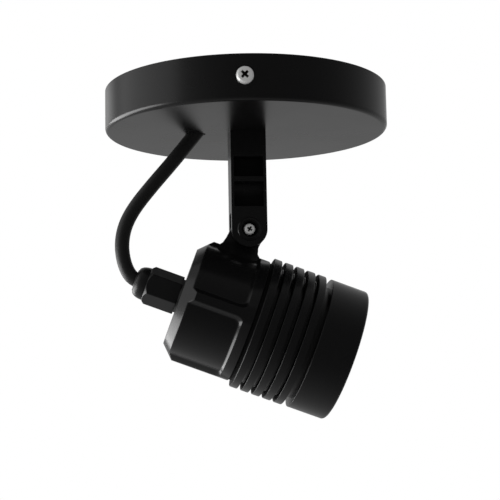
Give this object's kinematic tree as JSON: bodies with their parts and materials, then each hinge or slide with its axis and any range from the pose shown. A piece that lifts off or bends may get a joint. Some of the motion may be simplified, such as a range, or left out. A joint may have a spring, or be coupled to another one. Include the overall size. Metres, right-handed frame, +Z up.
{
  "type": "surface mounted ceiling spotlight",
  "caption": "Black spotlight on a round ceiling canopy: a short fixed arm carries a finned, tilting lamp head fed by a short cable.",
  "frame": {"origin": "middle of the canopy's face against the ceiling, on the strap's upper face", "axes": "+Z up into the ceiling; the arm and lamp head lie in the XZ plane, the lamp points towards +X and down; the tilt axis runs along Y"},
  "size_m": [0.125, 0.1304, 0.1452],
  "materials": {
    "black_paint": "satin black powder coat",
    "black_anodised": "satin black anodised",
    "zinc_steel": "bright zinc plated",
    "plain_steel": "bare steel screw heads",
    "black_nylon": "moulded nylon, slightly glossy",
    "white_nylon": "natural nylon",
    "black_rubber": "matt cable sheath",
    "grey_rubber": "soft seal",
    "core_insulation": "insulated cores in three colours",
    "brass": "turned brass",
    "bare_aluminium": "machined",
    "reflector_silver": "bright vacuum metallised",
    "clear_glass": "clear tempered glass",
    "board_white": "white solder mask",
    "board_green": "green solder mask",
    "chip_yellow": "phosphor",
    "component_black": "moulded"
  },
  "bodies": {
    "base": {"canopy_shell": "black_paint", "ceiling_strap": "zinc_steel", "canopy_side_screws": "plain_steel", "arm_backing_plate": "zinc_steel", "arm_screws": "zinc_steel", "arm_bracket": "black_paint", "pivot_screw": "plain_steel", "pivot_nut": "zinc_steel", "pivot_washers": "white_nylon", "mains_cable": "black_rubber", "supply_cores": "core_insulation", "cable_anchor": "black_nylon", "canopy_studs": "zinc_steel", "stud_nuts": "zinc_steel", "earth_lug": "brass", "terminal_block": "white_nylon", "terminal_tubes": "brass", "terminal_screws": "zinc_steel"},
    "head": {"head_housing": "black_anodised", "bezel_ring": "black_anodised", "glass_gasket": "grey_rubber", "front_glass": "clear_glass", "heat_spreader": "bare_aluminium", "spreader_screws": "zinc_steel", "light_chip_board": "board_white", "chip_board_screws": "zinc_steel", "light_chip": "chip_yellow", "reflector": "reflector_silver", "driver_board": "board_green", "driver_posts": "brass", "driver_board_screws": "zinc_steel", "driver_transformer": "component_black", "driver_capacitors": "component_black", "lamp_leads": "core_insulation", "gland_washer": "grey_rubber", "gland_body": "black_nylon", "gland_locknut": "black_nylon", "gland_seal": "grey_rubber", "gland_cap_nut": "black_nylon", "cable_tail": "black_rubber", "tail_cores": "core_insulation"}
  },
  "joints": [
    {"name": "head_tilt", "type": "hinge", "parent": "base", "child": "head", "pos_m": [0, 0, -0.0625], "axis": [0, 1, 0], "range_deg": [-10, 35], "deforming": ["mains_cable"]}
  ]
}
